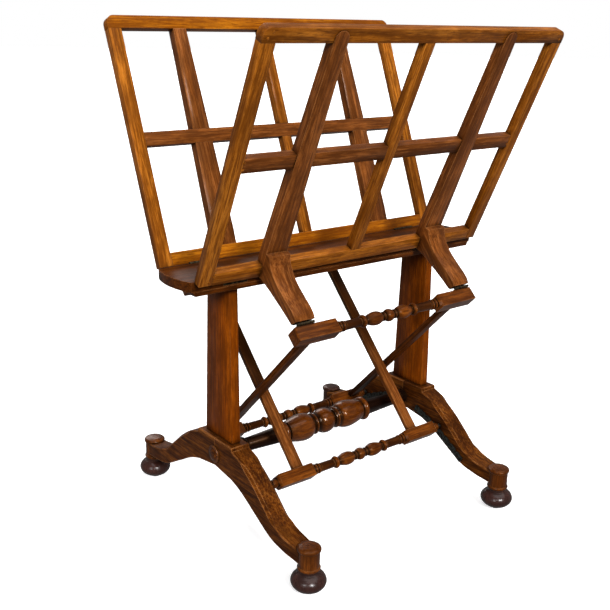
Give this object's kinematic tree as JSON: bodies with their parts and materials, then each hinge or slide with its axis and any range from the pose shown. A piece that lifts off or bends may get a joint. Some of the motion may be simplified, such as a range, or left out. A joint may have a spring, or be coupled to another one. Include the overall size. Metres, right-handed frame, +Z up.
{
  "type": "folio stand",
  "caption": "Mahogany folio stand: arched trestle ends on bun feet, a turned stretcher, a narrow platform and hinged slatted racks propped by turned stays on notched ratchets.",
  "frame": {"origin": "on the floor at the centre of the stand, midway between the trestles and between the front and rear feet", "axes": "+Z is up, X runs along the platform and the racks, and -Y faces the front rack"},
  "size_m": [0.835, 0.699, 1.1182],
  "materials": {
    "mahogany": "satin",
    "turned_mahogany": "gloss",
    "bun_wood": "gloss",
    "iron": "matte",
    "old_brass": "matte"
  },
  "bodies": {
    "base": {"left_post": "mahogany", "right_post": "mahogany", "left_front_leg": "mahogany", "left_rear_leg": "mahogany", "right_front_leg": "mahogany", "right_rear_leg": "mahogany", "left_front_drum": "turned_mahogany", "left_rear_drum": "turned_mahogany", "right_front_drum": "turned_mahogany", "right_rear_drum": "turned_mahogany", "left_front_bun": "bun_wood", "left_rear_bun": "bun_wood", "right_front_bun": "bun_wood", "right_rear_bun": "bun_wood", "left_boss": "turned_mahogany", "right_boss": "turned_mahogany", "stretcher": "turned_mahogany", "platform_board": "mahogany", "front_cleat": "mahogany", "rear_cleat": "mahogany", "left_ratchets": "iron", "right_ratchets": "iron", "ratchet_screws": "old_brass", "platform_hinge_leaves": "old_brass", "rack_hinge_pins": "iron"},
    "front_rack": {"front_top_rail": "mahogany", "front_mid_rail": "mahogany", "front_bottom_rail": "mahogany", "front_left_stile": "mahogany", "front_right_stile": "mahogany", "front_slat": "mahogany", "front_left_arm": "mahogany", "front_right_arm": "mahogany", "front_rack_leaves": "old_brass", "front_arm_leaves": "old_brass", "front_arm_pins": "iron"},
    "front_stay": {"front_upper_rail": "turned_mahogany", "front_left_strut": "mahogany", "front_right_strut": "mahogany", "front_lower_rail": "turned_mahogany", "front_rail_leaves": "old_brass", "front_stay_pins": "iron"},
    "rear_rack": {"rear_top_rail": "mahogany", "rear_mid_rail": "mahogany", "rear_bottom_rail": "mahogany", "rear_left_stile": "mahogany", "rear_right_stile": "mahogany", "rear_slat": "mahogany", "rear_left_arm": "mahogany", "rear_right_arm": "mahogany", "rear_rack_leaves": "old_brass", "rear_arm_leaves": "old_brass", "rear_arm_pins": "iron"},
    "rear_stay": {"rear_upper_rail": "turned_mahogany", "rear_left_strut": "mahogany", "rear_right_strut": "mahogany", "rear_lower_rail": "turned_mahogany", "rear_rail_leaves": "old_brass", "rear_stay_pins": "iron"}
  },
  "joints": [
    {"name": "front_rack_hinge", "type": "hinge", "parent": "base", "child": "front_rack", "pos_m": [0, -0.0648, 0.6157], "axis": [1, 0, 0], "range_deg": [-23.5, 33]},
    {"name": "front_stay_hinge", "type": "hinge", "parent": "front_rack", "child": "front_stay", "pos_m": [0, -0.20699, 0.53795], "axis": [1, 0, 0], "range_deg": [-28, 20]},
    {"name": "rear_rack_hinge", "type": "hinge", "parent": "base", "child": "rear_rack", "pos_m": [0, 0.0648, 0.6157], "axis": [-1, 0, 0], "range_deg": [-22, 35]},
    {"name": "rear_stay_hinge", "type": "hinge", "parent": "rear_rack", "child": "rear_stay", "pos_m": [0, 0.20898, 0.5417], "axis": [-1, 0, 0], "range_deg": [-30, 19]}
  ],
  "couplings": [
    {"joint": "front_stay_hinge", "follows": "front_rack_hinge", "ratio": -0.84},
    {"joint": "rear_stay_hinge", "follows": "rear_rack_hinge", "ratio": -0.84}
  ]
}
